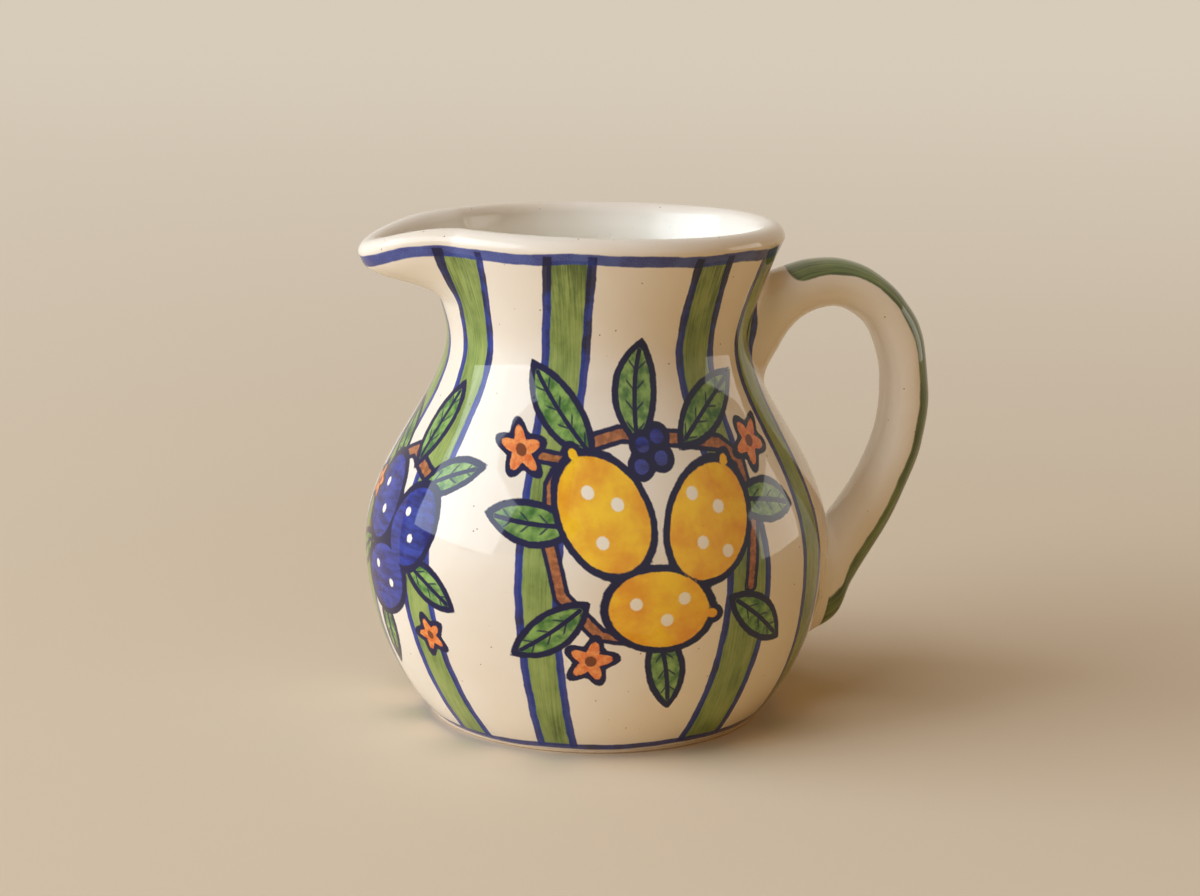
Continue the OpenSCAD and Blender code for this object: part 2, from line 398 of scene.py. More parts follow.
# %% Lay out the sprays
LEMON_LEAVES = (
    (-22, 35, 14, 5.8, 122), (0, 40, 14, 5.6, 84), (22, 34, 14, 5.8, 40),
    (-34, 6, 13, 5.4, 176), (39, 8, 12.5, 5.2, -10), (-29, -24, 13, 5.2, 218),
    (34, -24, 12.5, 5.2, -38), (4, -36, 12.5, 5, -78),
)
LEMONS = ((-13, 8, 17, 13, 114), (18, 5, 17, 13.2, 66), (2, -18, 16, 12, -8))
LEMON_DOTS = (
    (-17, 14), (-9, 11), (-14, 1), (13, 13), (21, 9),
    (15, 0), (23, -3), (-5, -16), (4, -21), (9, -15),
)
LEMON_BOUGH = (
    (31, 20), (24, 25), (12, 27), (-6, 29), (-20, 25), (-27, 15), (-29, 0), (-26, -14), (-15, -25),
)
PLUM_LEAVES = (
    (-15, 25, 11.5, 4.8, 122), (4, 31, 12, 4.8, 80), (19, 18, 11, 4.4, 24), (-22, -9, 11, 4.4, 206),
    (21, -12, 11, 4.4, -30), (-4, -30, 11, 4.2, -96),
)
PLUMS = ((-9, 8, 13, 10.5, 100), (11, 3, 12.5, 10.4, 74), (-2, -14, 13, 10.6, 10))
PLUM_DOTS = ((-11, 12), (-7, 5), (8, 7), (12, 0), (-6, -11), (3, -15))
PLUM_BOUGH = ((-4, -24), (-15, -10), (-18, 6), (-14, 18), (-2, 23), (14, 16), (19, 4))


def lemon_spray(middle, rise, mirrored=False):
    spray = Spray(middle, rise, mirrored)
    for row in LEMON_LEAVES:
        add_leaf(spray, *row)
    for row in LEMONS:
        add("lemon", spray.fruit(*row, nub=2.6))
    for x, y in LEMON_DOTS:
        add("dot", spray.berry(x, y, 1.85))
    for x, y, tilt in ((-35, 24, 20), (37, 24, 55), (-17, -33, 80)):
        add("flower", spray.flower(x, y, 7.4, tilt))
        add("heart", spray.berry(x, y, 1.7))
    for x, y in ((0, 26), (5, 22.5), (-1, 20.5), (4.5, 28)):
        add("plum", spray.berry(x, y, 3.0))
    add("twig", spray.twig(LEMON_BOUGH, 3.8))
    add("twig", spray.twig(((-22, 22), (-31, 23)), 3.0))
    add("twig", spray.twig(((31, 20), (33, 4), (31, -14)), 3.4))
    add("twig", spray.twig(((4, -28), (-15, -25)), 3.0))


def plum_spray(middle, rise, mirrored=False):
    spray = Spray(middle, rise, mirrored)
    for row in PLUM_LEAVES:
        add_leaf(spray, *row)
    for row in PLUMS:
        add("plum", spray.fruit(*row))
    for x, y in PLUM_DOTS:
        add("dot", spray.berry(x, y, 1.3))
    for x, y, tilt in ((-22, 10, 10), (20, -27, 40)):
        add("flower", spray.flower(x, y, 6, tilt))
        add("heart", spray.berry(x, y, 1.3))
    add("twig", spray.twig(PLUM_BOUGH, 3.6))


lemon_spray(277, 66)
plum_spray(203, 62)
lemon_spray(77, 64, mirrored=True)
plum_spray(142, 62, mirrored=True)
for key, distance in shapes.items():
    store(jug, key, np.where(painted, distance, -FAR))
store(jug, "leaf_along", leaf_along)
store(jug, "leaf_side", leaf_side)
share_of = {key: float((value[painted] > 0).mean()) for key, value in shapes.items()}
print("share of the outside:", {key: round(share, 3) for key, share in share_of.items()})

# %% [markdown]
# The pulled spout
#
# A potter makes the spout last, with a wet finger that draws the rim out and down between two
# others. The skin gets the same pull, after the painter's sheet is stored, so that the lines bend
# with the clay. A slight droop of the rim on one side keeps it from looking machined.

# %% Pull the spout
SPOUT_REACH = 16.5
SPOUT_DIP = 5.8
SPOUT_HALF_ANGLE = 35.0
THROAT_Z = 126.0
SPOUT_LIP_Z = 143.0
DROOP = 0.9
DROOP_ANGLE = 308
DROOP_FROM_Z = 112.0
off = np.abs(angle - 180)
near = np.where(off < SPOUT_HALF_ANGLE, (1 + np.cos(np.pi * off / SPOUT_HALF_ANGLE)) / 2, 0)
pull = smooth((height - THROAT_Z) / (SPOUT_LIP_Z - THROAT_Z))
out = radius + SPOUT_REACH * pull * near ** 0.7
droop = DROOP * np.clip(np.cos(turn - math.radians(DROOP_ANGLE)), 0, 1) ** 2
droop = droop * smooth((height - DROOP_FROM_Z) / 34)
sunk = height - SPOUT_DIP * pull * near ** 1.3 - droop
set_coordinates(jug, np.stack([out * np.cos(turn), out * np.sin(turn), sunk], 1) * MM)
print("spout tip at", round(float(-(out * np.cos(turn)).min()), 1), "mm from the axis")

# %% [markdown]
# The turned foot
#
# The foot is trimmed when the clay is half dry, and its standing edge is wiped clean so that it
# doesn't stick to the kiln shelf. A ring of bare clay shows there under the edge of the glaze. It
# is turned as a profile of its own: the recess, the flat ring, the worn outer edge and the part
# that the glaze covers.

# %% Turn the foot
WORN_R = 1.2
FOOT_SIDES = 240
ring_in = FOOT_R - FOOT_W
ring_out = float(plain_wall(WORN_R)) - WORN_R - 0.05
recess = [(r, FOOT_H) for r in (0.0, 14.0, 28.0, ring_in - 2.5)]
inner_edge = [
    (ring_in - 0.8, FOOT_H - 0.15), (ring_in - 0.2, FOOT_H - 0.6), (ring_in, FOOT_H - 1.3),
    (ring_in + 0.2, 0.6), (ring_in + 0.6, 0.15), (ring_in + 1.2, 0.0), (45.0, 0.0),
]
worn = [
    (ring_out + WORN_R * math.sin(math.radians(a)), WORN_R - WORN_R * math.cos(math.radians(a)))
    for a in (0, 15, 30, 45, 60, 75)
]
covered = [(48.6, 1.6), (47.0, FOOT_H - 0.3), (44.5, FOOT_H + 0.3), (0.0, FOOT_H + 0.3)]
foot = turn_on_wheel("turned_foot", recess + inner_edge + worn + covered, FOOT_SIDES)
print("foot:", triangles(foot), "triangles")
print("it stands on a ring from", ring_in, "to", round(ring_out, 1), "mm")

# %% [markdown]
# The pulled handle
#
# A handle is a strap of clay pulled between wet fingers, bent round and pressed on at both ends. It
# starts here as a flat grid, the strap, and is then rolled up: one side of the grid runs round the
# section and the other along the loop. The rows below are the loop in shares of its own reach and
# height, the same as in the solids.

# %% The loop of the handle
HANDLE_REACH = 101.3
HANDLE_TOP_Z = 137.6
HANDLE_LOW_Z = 20.5
HANDLE_T = 14.2
HANDLE_W = 22.0
UPPER_ROOT_W = 27.0
LOWER_ROOT_W = 25.0
LOOP_SHARES = (
    (0.00, 0.96, 0.00, 0.00), (0.13, 0.985, 0.19, 0.39), (0.26, 1.00, 0.36, 0.84),
    (0.45, 1.00, 0.57, 1.00), (0.65, 0.97, 0.75, 0.97), (0.84, 0.90, 0.90, 0.88),
    (0.96, 0.80, 0.98, 0.74), (1.00, 0.66, 1.00, 0.59), (0.96, 0.52, 0.96, 0.43),
    (0.79, 0.39, 0.77, 0.26), (0.51, 0.25, 0.30, 0.07), (0.31, 0.145, 0.16, 0.03),
    (0.22, 0.05, 0.08, 0.01), (0.00, 0.00, 0.00, 0.00),
)
TOP_ROW = 3
SPANS = len(LOOP_SHARES) - 1
GAP_TOP_Z = HANDLE_TOP_Z - HANDLE_T
GAP_LOW_Z = HANDLE_LOW_Z + 37.0
ROOT_TOP_Z = HANDLE_LOW_Z + 0.96 * (HANDLE_TOP_Z - HANDLE_LOW_Z)
UPPER_ROOT_Z = ROOT_TOP_Z - 31.4
SECTION_SHARE = 0.88
ROOT_SPREAD = 0.25

knots = []
for i, (out_share, up_share, in_out, in_up) in enumerate(LOOP_SHARES):
    spine_z = HANDLE_LOW_Z + up_share * (HANDLE_TOP_Z - HANDLE_LOW_Z)
    low = UPPER_ROOT_Z if i < TOP_ROW else GAP_LOW_Z
    inner_z = low + in_up * (GAP_TOP_Z - low)
    knots.append((
        spine_z, out_share * (HANDLE_REACH - float(plain_wall(spine_z))),
        inner_z, in_out * (HANDLE_REACH - HANDLE_T - float(plain_wall(inner_z)))))
knots = np.array(knots)


def loop_at(u):
    i = min(int(u), SPANS - 1)
    t = u - i
    p0, p1, p2, p3 = knots[max(i - 1, 0)], knots[i], knots[i + 1], knots[min(i + 2, SPANS)]
    return (2 * p1 + (p2 - p0) * t + (2 * p0 - 5 * p1 + 4 * p2 - p3) * t * t
            + (3 * p1 - p0 - 3 * p2 + p3) * t ** 3) / 2


def handle_ring(u, turns):
    """Points round the section at u along the loop; turns are angles, with 0 at the spine."""
    knot = loop_at(u)
    c, s = np.cos(turns), np.sin(turns)
    k = (1 + np.sign(c) * np.abs(c) ** SECTION_SHARE) / 2
    z = knot[2] + (knot[0] - knot[2]) * k
    far = knot[3] + (knot[1] - knot[3]) * k
    upper = (UPPER_ROOT_W - HANDLE_W) * np.clip(1 - u / SPANS / ROOT_SPREAD, 0, 1) ** 2
    lower = (LOWER_ROOT_W - HANDLE_W) * np.clip(1 - (1 - u / SPANS) / ROOT_SPREAD, 0, 1) ** 2
    y = (HANDLE_W + upper + lower) / 2 * np.sign(s) * np.abs(s) ** SECTION_SHARE
    r = plain_wall(z)
    hug = np.clip(1 - far / HANDLE_T, 0, 1)
    return np.stack([r + far - hug * (r - np.sqrt(r * r - y * y)), y, z], 1)


def on_wall(ring, turns, grow, sink):
    """An oval round a ring's own middle, drawn larger and laid on the wall, sunk a little into it."""
    spine_z, inner_z = ring[0, 2], ring[len(ring) // 2, 2]
    half_y, half_z = ring[:, 1].max(), (spine_z - inner_z) / 2
    y = np.sin(turns) * (half_y + grow)
    z = (spine_z + inner_z) / 2 + np.cos(turns) * (half_z + math.copysign(grow, half_z))
    return np.stack([np.sqrt((wall(z) - sink) ** 2 - y * y), y, z], 1)


print("the loop has", SPANS, "spans and", round(GAP_TOP_Z - GAP_LOW_Z), "mm of room for the fingers")

# %% [markdown]
# Each end is wiped onto the wall with slip, which leaves a soft hollow all round. That hollow is a
# curve from the handle's own surface to a wider outline on the wall, bent toward the corner between
# them, so it leaves both surfaces without a crease. The last ring is sunk into the wall and closed
# there. The painter's stripes run a little way up that hollow, so it gets the same distances as the
# wall.

# %% Roll up the strap
SIDES = 64
LOOP_RINGS = 150
WIPE_RINGS = 8
UPPER_WIPE_W = 3.2
LOWER_WIPE_W = 5.0
PAINT_RISE = 2.6
ROOT_U = 0.62
SUNK = 1.5
FEATHER = 0.06
turns = np.linspace(0, 2 * math.pi, SIDES + 1)


def wiped_end(corner_ring, leaving, wipe_w):
    """Rings from the sunk end up to the handle, along the hollow of the slip."""
    rings = [on_wall(corner_ring, turns, wipe_w - 0.6, SUNK)]
    edge = on_wall(corner_ring, turns, wipe_w, FEATHER)
    corner_on_wall = on_wall(corner_ring, turns, 0.0, 0.0)
    for i in range(WIPE_RINGS + 1):
        t = i / WIPE_RINGS
        rings.append((1 - t) ** 2 * edge + 2 * t * (1 - t) * corner_on_wall + t * t * leaving)
    return rings


upper_end = wiped_end(handle_ring(0, turns), handle_ring(ROOT_U, turns), UPPER_WIPE_W)
lower_end = wiped_end(handle_ring(SPANS, turns), handle_ring(SPANS - ROOT_U, turns), LOWER_WIPE_W)
middle_us = np.linspace(ROOT_U, SPANS - ROOT_U, LOOP_RINGS)[1:-1]
strap = np.array(upper_end + [handle_ring(u, turns) for u in middle_us] + lower_end[::-1])
along = np.concatenate([[0], np.cumsum(np.linalg.norm(np.diff(strap[:, 0], axis=0), axis=1))])

put_down()
bpy.ops.mesh.primitive_grid_add(
    x_subdivisions=SIDES, y_subdivisions=len(strap) - 1, size=1, location=(0, 0, 0))
handle = bpy.context.object
handle.name = "pulled_handle"
flat = coordinates(handle)
column = np.rint((flat[:, 0] + 0.5) * SIDES).astype(int)
row = np.rint((flat[:, 1] + 0.5) * (len(strap) - 1)).astype(int)
set_coordinates(handle, strap[row, column] * MM)
from_spine = np.abs((turns[column] + np.pi) % (2 * np.pi) - np.pi)
store(handle, "from_spine", from_spine)
store(handle, "over_strap", np.sin(turns[column]) * HANDLE_W / 2)
store(handle, "along", along[row])
spots = strap[row, column]
spot_angle = np.degrees(np.arctan2(spots[:, 1], spots[:, 0])) % 360
spot_radius = np.hypot(spots[:, 0], spots[:, 1])
spot_rise = spot_radius - wall(spots[:, 2])
spot_stripe = inside_stripe(spot_angle, spot_radius, spots[:, 2])
store(handle, "stripe", np.minimum(spot_stripe, PAINT_RISE - spot_rise))
spot_around = np.radians(spot_angle) * SHEET_R
store_vector(handle, "sheet", np.stack([spot_around, spots[:, 2], np.zeros(len(spots))], 1))
pick_up(handle)
bpy.ops.object.mode_set(mode="EDIT")
bpy.ops.mesh.select_all(action="SELECT")
bpy.ops.mesh.remove_doubles(threshold=0.000005)
for end in (0, len(strap) - 1):
    bpy.ops.mesh.select_all(action="DESELECT")
    bpy.ops.object.mode_set(mode="OBJECT")
    rim = strap[end, :-1] * MM
    where = coordinates(handle)
    for k, spot in enumerate(where):
        if np.abs(rim - spot).sum(1).min() < 0.00002:
            handle.data.vertices[k].select = True
    bpy.ops.object.mode_set(mode="EDIT")
    bpy.ops.mesh.extrude_edges_move(TRANSFORM_OT_translate={"value": (-0.001, 0, 0)})
    bpy.ops.mesh.merge(type="CENTER")
bpy.ops.mesh.select_all(action="SELECT")
bpy.ops.mesh.normals_make_consistent(inside=False)
bpy.ops.object.mode_set(mode="OBJECT")
bpy.ops.object.shade_smooth()
print("handle:", len(strap), "rings,", triangles(handle), "triangles")
print("it is", round(float(along[-1])), "mm long on its spine")

# %% [markdown]
# Writing materials as sums
#
# Node trees are easier to read as arithmetic. A Wire holds one output, and adding or multiplying
# Wires adds the Math nodes. Everything else, such as a noise or a mix, is made by one method that
# sets a node's own settings first and then its inputs.


# %% Wires and recipes
class Wire:
    def __init__(self, recipe, socket):
        self.recipe = recipe
        self.socket = socket

    def math(self, operation, *others):
        values = {i: value for i, value in enumerate((self,) + others)}
        return self.recipe.node("ShaderNodeMath", {"operation": operation}, values)

    def __add__(self, other):
        return self.math("ADD", other)

    __radd__ = __add__

    def __mul__(self, other):
        return self.math("MULTIPLY", other)

    __rmul__ = __mul__

    def __sub__(self, other):
        return self.math("SUBTRACT", other)

    def __rsub__(self, other):
        return self.recipe.node("ShaderNodeMath", {"operation": "SUBTRACT"}, {0: other, 1: self})

    def __abs__(self):
        return self.math("ABSOLUTE")

    def above(self, edge, soft):
        """0 below the edge and 1 above it, with a soft step between."""
        return self.recipe.node(
            "ShaderNodeMapRange", {"interpolation_type": "SMOOTHSTEP"},
            {"Value": self, "From Min": edge - soft, "From Max": edge + soft})


class Recipe:
    def __init__(self, name, tree=None):
        if tree is None:
            self.material = bpy.data.materials.new(name)
            self.material.use_nodes = True
        self.tree = tree or self.material.node_tree
        self.tree.nodes.clear()
        self.out = self.tree.nodes.new("ShaderNodeOutputWorld" if tree else "ShaderNodeOutputMaterial")
        if tree is None:
            self.shader = self.tree.nodes.new("ShaderNodeBsdfPrincipled")
            self.tree.links.new(self.shader.outputs[0], self.out.inputs[0])
        self.place = self.node("ShaderNodeTexCoord", {}, {}, "Object")

    def node(self, kind, settings, values, output=0):
        made = self.tree.nodes.new(kind)
        for key, value in settings.items():
            setattr(made, key, value)
        for key, value in values.items():
            self.set(made.inputs[key], value)
        return Wire(self, made.outputs[output])

    def set(self, socket, value):
        if isinstance(value, Wire):
            self.tree.links.new(value.socket, socket)
        elif hasattr(socket.default_value, "__len__") and len(socket.default_value) == 4:
            socket.default_value = tuple(value) + (1.0,)
        else:
            socket.default_value = value

    def read(self, name, output="Fac"):
        return self.node("ShaderNodeAttribute", {"attribute_name": name}, {}, output)

    def scaled(self, vector, x, y, z):
        """A vector stretched by three numbers, to draw a pattern out in one direction."""
        return self.node("ShaderNodeVectorMath", {"operation": "MULTIPLY"}, {0: vector, 1: (x, y, z)})

    def noise(self, vector, scale, detail=2.0, roughness=0.5):
        values = {"Vector": vector, "Scale": scale, "Detail": detail, "Roughness": roughness}
        return self.node("ShaderNodeTexNoise", {}, values)

    def from_axis(self):
        """Distance from the wheel's axis, in metres."""
        flat = self.scaled(self.place, 1, 1, 0)
        return self.node("ShaderNodeVectorMath", {"operation": "LENGTH"}, {0: flat}, "Value")

    def mix(self, factor, below, above):
        return self.node("ShaderNodeMix", {"data_type": "RGBA"}, {0: factor, 6: below, 7: above}, 2)

    def finish(self, **sockets):
        for key, value in sockets.items():
            self.set(self.shader.inputs[key.replace("_", " ")], value)
        return self.material

    def lay_over(self, factor, other):
        """Shows another shader over this one, by the factor."""
        own = Wire(self, self.shader.outputs[0])
        both = self.node("ShaderNodeMixShader", {}, {0: factor, 1: own, 2: other})
        self.tree.links.new(both.socket, self.out.inputs[0])


def tone(red, green, blue):
    """A colour as it is seen on a screen, from 0 to 255, as the numbers that light needs."""
    shares = [value / 255 for value in (red, green, blue)]
    return tuple(v / 12.92 if v < 0.0431 else ((v + 0.055) / 1.055) ** 2.4 for v in shares)


print("a middle grey on the screen reflects", round(tone(128, 128, 128)[0], 3), "of the light")

# %% [markdown]
# The cream glaze
#
# The glaze is a warm cream, a little browner where it is thin. Iron in the clay breaks through as
# sparse brown pinholes. The surface is glossy but not flat: throwing rings and the flow of the
# glaze make the reflections swim, which a very low bump gives. In the mouth the gloss is softer,
# and the cream is painted whiter there, as painted light for the light that falls into the mouth.

# %% Cream glaze, shared by wall and handle
CREAM = tone(240, 235, 227)
THIN_CREAM = tone(230, 217, 197)
# a whiter cream for the inside of the mouth: painted light, not a thicker glaze
MOUTH_PAINTED_LIGHT_CREAM = tone(252, 251, 243)
IRON = tone(128, 84, 48)
GLAZE_IOR = 1.52
GLAZE_RELIEF = 0.0005


def cream_glaze(recipe):
    """The bare glaze's colour, its height for the bump and the pinholes."""
    cloud = recipe.noise(recipe.place, 28.0, 3.0)
    cream = recipe.mix(cloud.above(0.56, 0.22) * 0.45, CREAM, THIN_CREAM)
    cells = {"Vector": recipe.place, "Scale": 235.0}
    near_cell = recipe.node("ShaderNodeTexVoronoi", {}, cells)
    cell_colour = recipe.node("ShaderNodeTexVoronoi", {}, cells, "Color")
    chosen = recipe.node("ShaderNodeSeparateColor", {}, {0: cell_colour})
    pinhole = (1 - near_cell.above(0.052, 0.022)) * chosen.above(0.2, 0.02)
    ripple = recipe.noise(recipe.scaled(recipe.place, 1, 1, 3.2), 30.0, 1.0)
    flow = recipe.noise(recipe.place, 75.0, 1.0)
    relief = ripple * 0.30 + flow * 0.06 - pinhole * 0.25
    return recipe.mix(pinhole * 0.8, cream, IRON), relief


def glassy(recipe, colour, relief, softer=0.0):
    """Gives a glaze its gloss and its ripple."""
    gloss = recipe.noise(recipe.place, 60.0, 2.0) * 0.05 + 0.03 + softer
    shape = {"Strength": 1.0, "Distance": GLAZE_RELIEF, "Height": relief}
    bump = recipe.node("ShaderNodeBump", {}, shape)
    return recipe.finish(Base_Color=colour, Roughness=gloss, Normal=bump, IOR=GLAZE_IOR)


print("the cream reflects", [round(v, 2) for v in CREAM], "of red, green and blue light")

# %% [markdown]
# The brushwork
#
# Each colour is laid over the glaze in the order that a painter uses: green stripes first, then the
# cobalt lines, then the fruit, and last the dark outlines. A brush carries less paint toward its
# sides and along the stroke, so every colour is mixed from a thin and a thick tone by streaks that
# follow the stroke.

# %% Brush tones and the stripes
GREEN_THIN = tone(150, 170, 92)
GREEN = tone(112, 138, 58)
GREEN_THICK = tone(74, 96, 32)
COBALT_THIN = tone(26, 54, 154)
COBALT = tone(8, 30, 124)
RIM_BLUE = tone(58, 82, 166)
NAVY = tone(4, 10, 64)


class Brush:
    """The unevenness of one painter's hand, laid on the sheet of angle and height."""

    def __init__(self, recipe):
        self.recipe = recipe
        self.sheet = recipe.read("sheet", "Vector")
        slow, quick = self.grain(0.16, 2.0), self.grain(0.7, 2.0)
        self.shake = (slow - 0.5) * 1.6 + (quick - 0.5) * 0.3
        self.blotches = self.grain(0.13, 3.0, 0.55)
        self.fine = self.grain(0.55, 3.0, 0.6)
        self.up = recipe.node("ShaderNodeSeparateXYZ", {}, {0: self.sheet}, 1)

    def grain(self, scale, detail, roughness=0.5):
        return self.recipe.noise(self.sheet, scale, detail, roughness)

    def drawn_out(self, x, y, detail=3.0, roughness=0.6):
        """Noise of x waves to a millimetre across and y up."""
        return self.recipe.noise(self.recipe.scaled(self.sheet, x, y, 1.0), 1.0, detail, roughness)


def green_stripe(brush, below, inside):
    """Lays the green of the stripes over a colour."""
    load = brush.drawn_out(1.5, 0.05) * 0.4 + brush.drawn_out(0.12, 0.06, 4.0, 0.6) * 0.6
    green = brush.recipe.mix(load.above(0.48, 0.14), GREEN_THIN, GREEN)
    pooled = load + brush.up.above(134, 16) * 0.14
    green = brush.recipe.mix(pooled.above(0.62, 0.10), green, GREEN_THICK)
    return brush.recipe.mix(inside * 0.97, below, green)


def cobalt_tones(brush):
    """A cobalt line's colour, darker where the brush was full."""
    load = brush.blotches * 0.75 + brush.fine * 0.25
    cobalt = brush.recipe.mix(load.above(0.48, 0.2), COBALT_THIN, COBALT)
    return brush.recipe.mix((load + brush.up.above(124, 22) * 0.2).above(0.64, 0.12), cobalt, NAVY)


def stripe_lines(brush, below, edge, inside):
    """Draws the two cobalt lines of each stripe, wider toward the rim."""
    half = 0.9 + brush.blotches * 0.5 + brush.up.above(118, 24) * 0.15
    line = (half - abs(edge)).above(0.0, 0.18) * inside * 0.97
    return brush.recipe.mix(line, below, cobalt_tones(brush))


print("green from", [round(v, 2) for v in GREEN_THIN], "to", [round(v, 2) for v in GREEN_THICK])

# %% [markdown]
# Laying one colour over another
#
# A mask says where the brush touched, and a mix puts the new colour there over what was painted
# before. The mask is the stored distance, moved in and out by a slow noise as a hand shakes, and
# cut off softly at zero. The stripes stop under the two lines that ring the jug.

# %% Paint the jug
paint = Recipe("painted_glaze_brushwork")
hand = Brush(paint)
glaze, relief = cream_glaze(paint)
in_mouth = paint.read("in_mouth")
# the inside of the mouth is painted whiter, as painted light for the light that falls in over the lip
glaze = paint.mix(in_mouth * 0.95, glaze, MOUTH_PAINTED_LIGHT_CREAM)
rim_edge = paint.read("rim_line") + hand.shake * 0.35
foot_edge = paint.read("foot_line") + hand.shake * 0.25
stripe_edge = paint.read("stripe") + hand.shake * 0.55
between_lines = (1 - rim_edge.above(-0.4, 0.3)) * foot_edge.above(0.0, 0.2)
colour = green_stripe(hand, glaze, stripe_edge.above(0.0, 0.2) * between_lines)

stipple = hand.grain(3.0, 2.0)
rim_load = stipple * 0.5 + hand.blotches * 0.5
rim_blue = paint.mix(rim_load.above(0.5, 0.12), RIM_BLUE, COBALT)
rim_half = 1.35 + hand.blotches * 0.5
colour = paint.mix((rim_half - abs(rim_edge)).above(0.0, 0.22) * 0.95, colour, rim_blue)
foot_half = 0.85 + hand.blotches * 0.4
colour = paint.mix((foot_half - abs(foot_edge)).above(0.0, 0.2) * 0.95, colour, cobalt_tones(hand))
line_ends = (1 - rim_edge.above(0.9, 0.25)) * foot_edge.above(-0.3, 0.2)
colour = stripe_lines(hand, colour, stripe_edge, line_ends)
print("stripes and lines:", len(paint.tree.nodes), "nodes so far")

# %% [markdown]
# Fruit and leaves are filled in loosely, so the fill stops a little short of the outline here and
# there, and the outline swells and thins as the brush turns. White dots are left by a drop of
# resist before the colour goes on.

# %% Paint the sprays
TWIG_TONES = (tone(184, 116, 70), tone(140, 80, 42))
LEAF_TONES = (tone(140, 180, 94), tone(50, 106, 46))
LEMON_TONES = (tone(255, 210, 24), tone(238, 160, 4))
PLUM_TONES = (tone(36, 56, 160), tone(6, 14, 98))
FLOWER_TONES = (tone(242, 158, 86), tone(224, 108, 42))
HEART = tone(120, 60, 30)
BARE_DOT = tone(247, 243, 232)
outline_half = 0.72 + hand.fine * 0.5


def filled(below, key, tones, load, wobble, line=outline_half):
    """One painted shape: its fill from thin to thick paint, then its dark outline."""
    edge = paint.read(key) + wobble
    body = paint.mix(load.above(0.5, 0.17), *tones)
    coloured = paint.mix(edge.above(0.0, 0.2) * 0.97, below, body)
    return paint.mix((line - abs(edge)).above(0.0, 0.2), coloured, NAVY)


wobble = hand.shake * 0.45
twig_line = 0.42 + hand.fine * 0.45
colour = filled(colour, "twig", TWIG_TONES, hand.fine, hand.shake * 0.2, twig_line)
leaf_load = hand.grain(0.28, 2.0) * 0.8 + hand.fine * 0.2
colour = filled(colour, "leaf", LEAF_TONES, leaf_load, wobble)
side = paint.read("leaf_side")
rib = (0.5 + hand.fine * 0.35 - abs(side)).above(0.0, 0.15)
branch = paint.read("leaf_along") * 0.18 - abs(side) * 0.2 + hand.shake * 0.05
ribs = paint.node("ShaderNodeMath", {"operation": "PINGPONG"}, {0: branch, 1: 0.5})
side_rib = (1 - ribs.above(0.075, 0.03)) * (1 - abs(side).above(2.6, 0.3))
in_leaf = (paint.read("leaf") + wobble).above(1.0, 0.2)
colour = paint.mix(rib.math("MAXIMUM", side_rib * 0.85) * in_leaf, colour, NAVY)

lemon_load = hand.drawn_out(0.09, 0.085, 3.0, 0.5) * 0.85 + hand.fine * 0.15
colour = filled(colour, "lemon", LEMON_TONES, lemon_load, wobble)
colour = filled(colour, "plum", PLUM_TONES, hand.drawn_out(0.12, 0.4), wobble)
colour = filled(colour, "flower", FLOWER_TONES, hand.fine, wobble * 0.6)
colour = paint.mix((paint.read("heart") + wobble * 0.3).above(0.0, 0.2), colour, HEART)
colour = paint.mix((paint.read("dot") + wobble * 0.3).above(0.0, 0.25), colour, BARE_DOT)
jug_glaze = glassy(paint, colour, relief, softer=in_mouth * 0.14)
print("painted glaze:", len(paint.tree.nodes), "nodes")

# %% [markdown]
# The handle is only dipped, with one loaded stroke of green down its spine. The stroke starts round
# where the brush is set down, spreads as the brush is pressed on the way down, and runs out at the
# lower end.

# %% Paint the handle
STROKE_HALF = 8.3
STROKE_START = 9.0
STROKE_END = 12.0
SPINE_BEND = 7.4
STROKE_THIN = tone(128, 150, 78)
STROKE_GREEN = tone(88, 112, 46)
STROKE_THICK = tone(56, 76, 26)
strap_glaze = Recipe("handle_glaze_one_stroke")
glaze, relief = cream_glaze(strap_glaze)
from_spine = strap_glaze.read("from_spine")
run = strap_glaze.read("along")
stroke_noise = strap_glaze.noise(strap_glaze.place, 90.0, 2.0)
stroke_sheet = {0: strap_glaze.read("over_strap") * 0.9, 1: run * 0.03}
stroke_place = strap_glaze.node("ShaderNodeCombineXYZ", {}, stroke_sheet)
bristles = strap_glaze.noise(stroke_place, 1.2, 3.0, 0.6)
brushed = strap_glaze.noise(strap_glaze.place, 260.0, 2.0)
spread = run.above(75.0, 30.0) * 1.4
half_stroke = STROKE_HALF + spread - from_spine * SPINE_BEND
half_stroke = half_stroke + (stroke_noise - 0.5) * 1.3 + (brushed - 0.5) * 0.7
set_down = run - STROKE_START - from_spine * from_spine * 4.5 + (stroke_noise - 0.5) * 2.0
lifted = (along[-1] - STROKE_END) - run
stroke = half_stroke.math("SMOOTH_MIN", set_down, 3.0).math("MINIMUM", lifted)
edge_pool = (1 - stroke.above(1.1, 0.8)) * 0.08
full = bristles * 0.7 + stroke_noise * 0.3 + edge_pool
green = strap_glaze.mix(full.above(0.46, 0.12), STROKE_THIN, STROKE_GREEN)
green = strap_glaze.mix(full.above(0.6, 0.1), green, STROKE_THICK)
strap_hand = Brush(strap_glaze)
stripe_edge = strap_glaze.read("stripe") + strap_hand.shake * 0.55
colour = green_stripe(strap_hand, glaze, stripe_edge.above(0.0, 0.2))
colour = stripe_lines(strap_hand, colour, stripe_edge, 1.0)
colour = strap_glaze.mix(stroke.above(0.0, 0.3) * 0.96, colour, green)
handle_glaze = glassy(strap_glaze, colour, relief)
print("handle glaze:", len(strap_glaze.tree.nodes), "nodes")

# %% [markdown]
# Bare clay is matt and sandy, and darker where the glaze has stained its edge. A pool of glaze lies
# in the recess.

